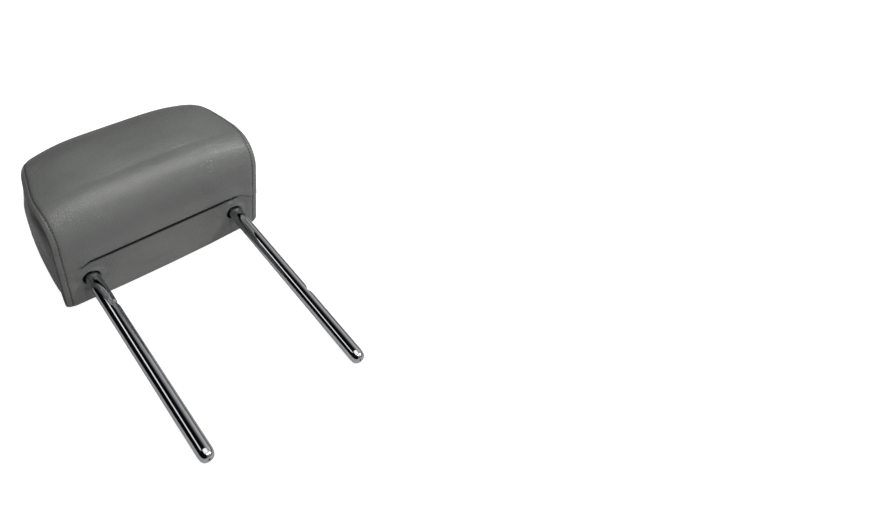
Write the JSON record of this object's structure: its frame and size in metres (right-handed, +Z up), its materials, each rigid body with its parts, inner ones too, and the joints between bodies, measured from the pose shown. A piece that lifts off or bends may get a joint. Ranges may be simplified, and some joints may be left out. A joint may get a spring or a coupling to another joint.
{
  "type": "car headrest",
  "caption": "Leather-covered car head restraint on a bent chrome tube; both legs have swaged tips and a lock notch. Lies on its back.",
  "frame": {"origin": "middle of the bounding box's bottom, on the surface the headrest lies on", "axes": "+X across the headrest to the viewer's right, +Y from the leg tips towards the cushion, +Z up, out of the face the occupant leans on"},
  "size_m": [0.2194, 0.3558, 0.1351],
  "materials": {
    "leather": "pebbled grey leather, satin",
    "thread": "dark grey sewing thread",
    "chrome": "polished chrome plate",
    "foam": "moulded polyurethane foam",
    "core_plastic": "moulded black plastic",
    "strip_plastic": "extruded plastic",
    "screw_steel": "zinc-plated steel"
  },
  "bodies": {
    "root": {"cover_panel": "leather", "gusset_left": "leather", "gusset_right": "leather", "topstitch_left": "thread", "topstitch_right": "thread", "closure_strip_front": "strip_plastic", "closure_strip_rear": "strip_plastic", "foam_bun": "foam", "core_shell_front": "core_plastic", "core_shell_rear": "core_plastic", "post_tube": "chrome", "core_screw_1": "screw_steel", "core_screw_2": "screw_steel", "core_screw_3": "screw_steel", "core_screw_4": "screw_steel"}
  },
  "joints": []
}
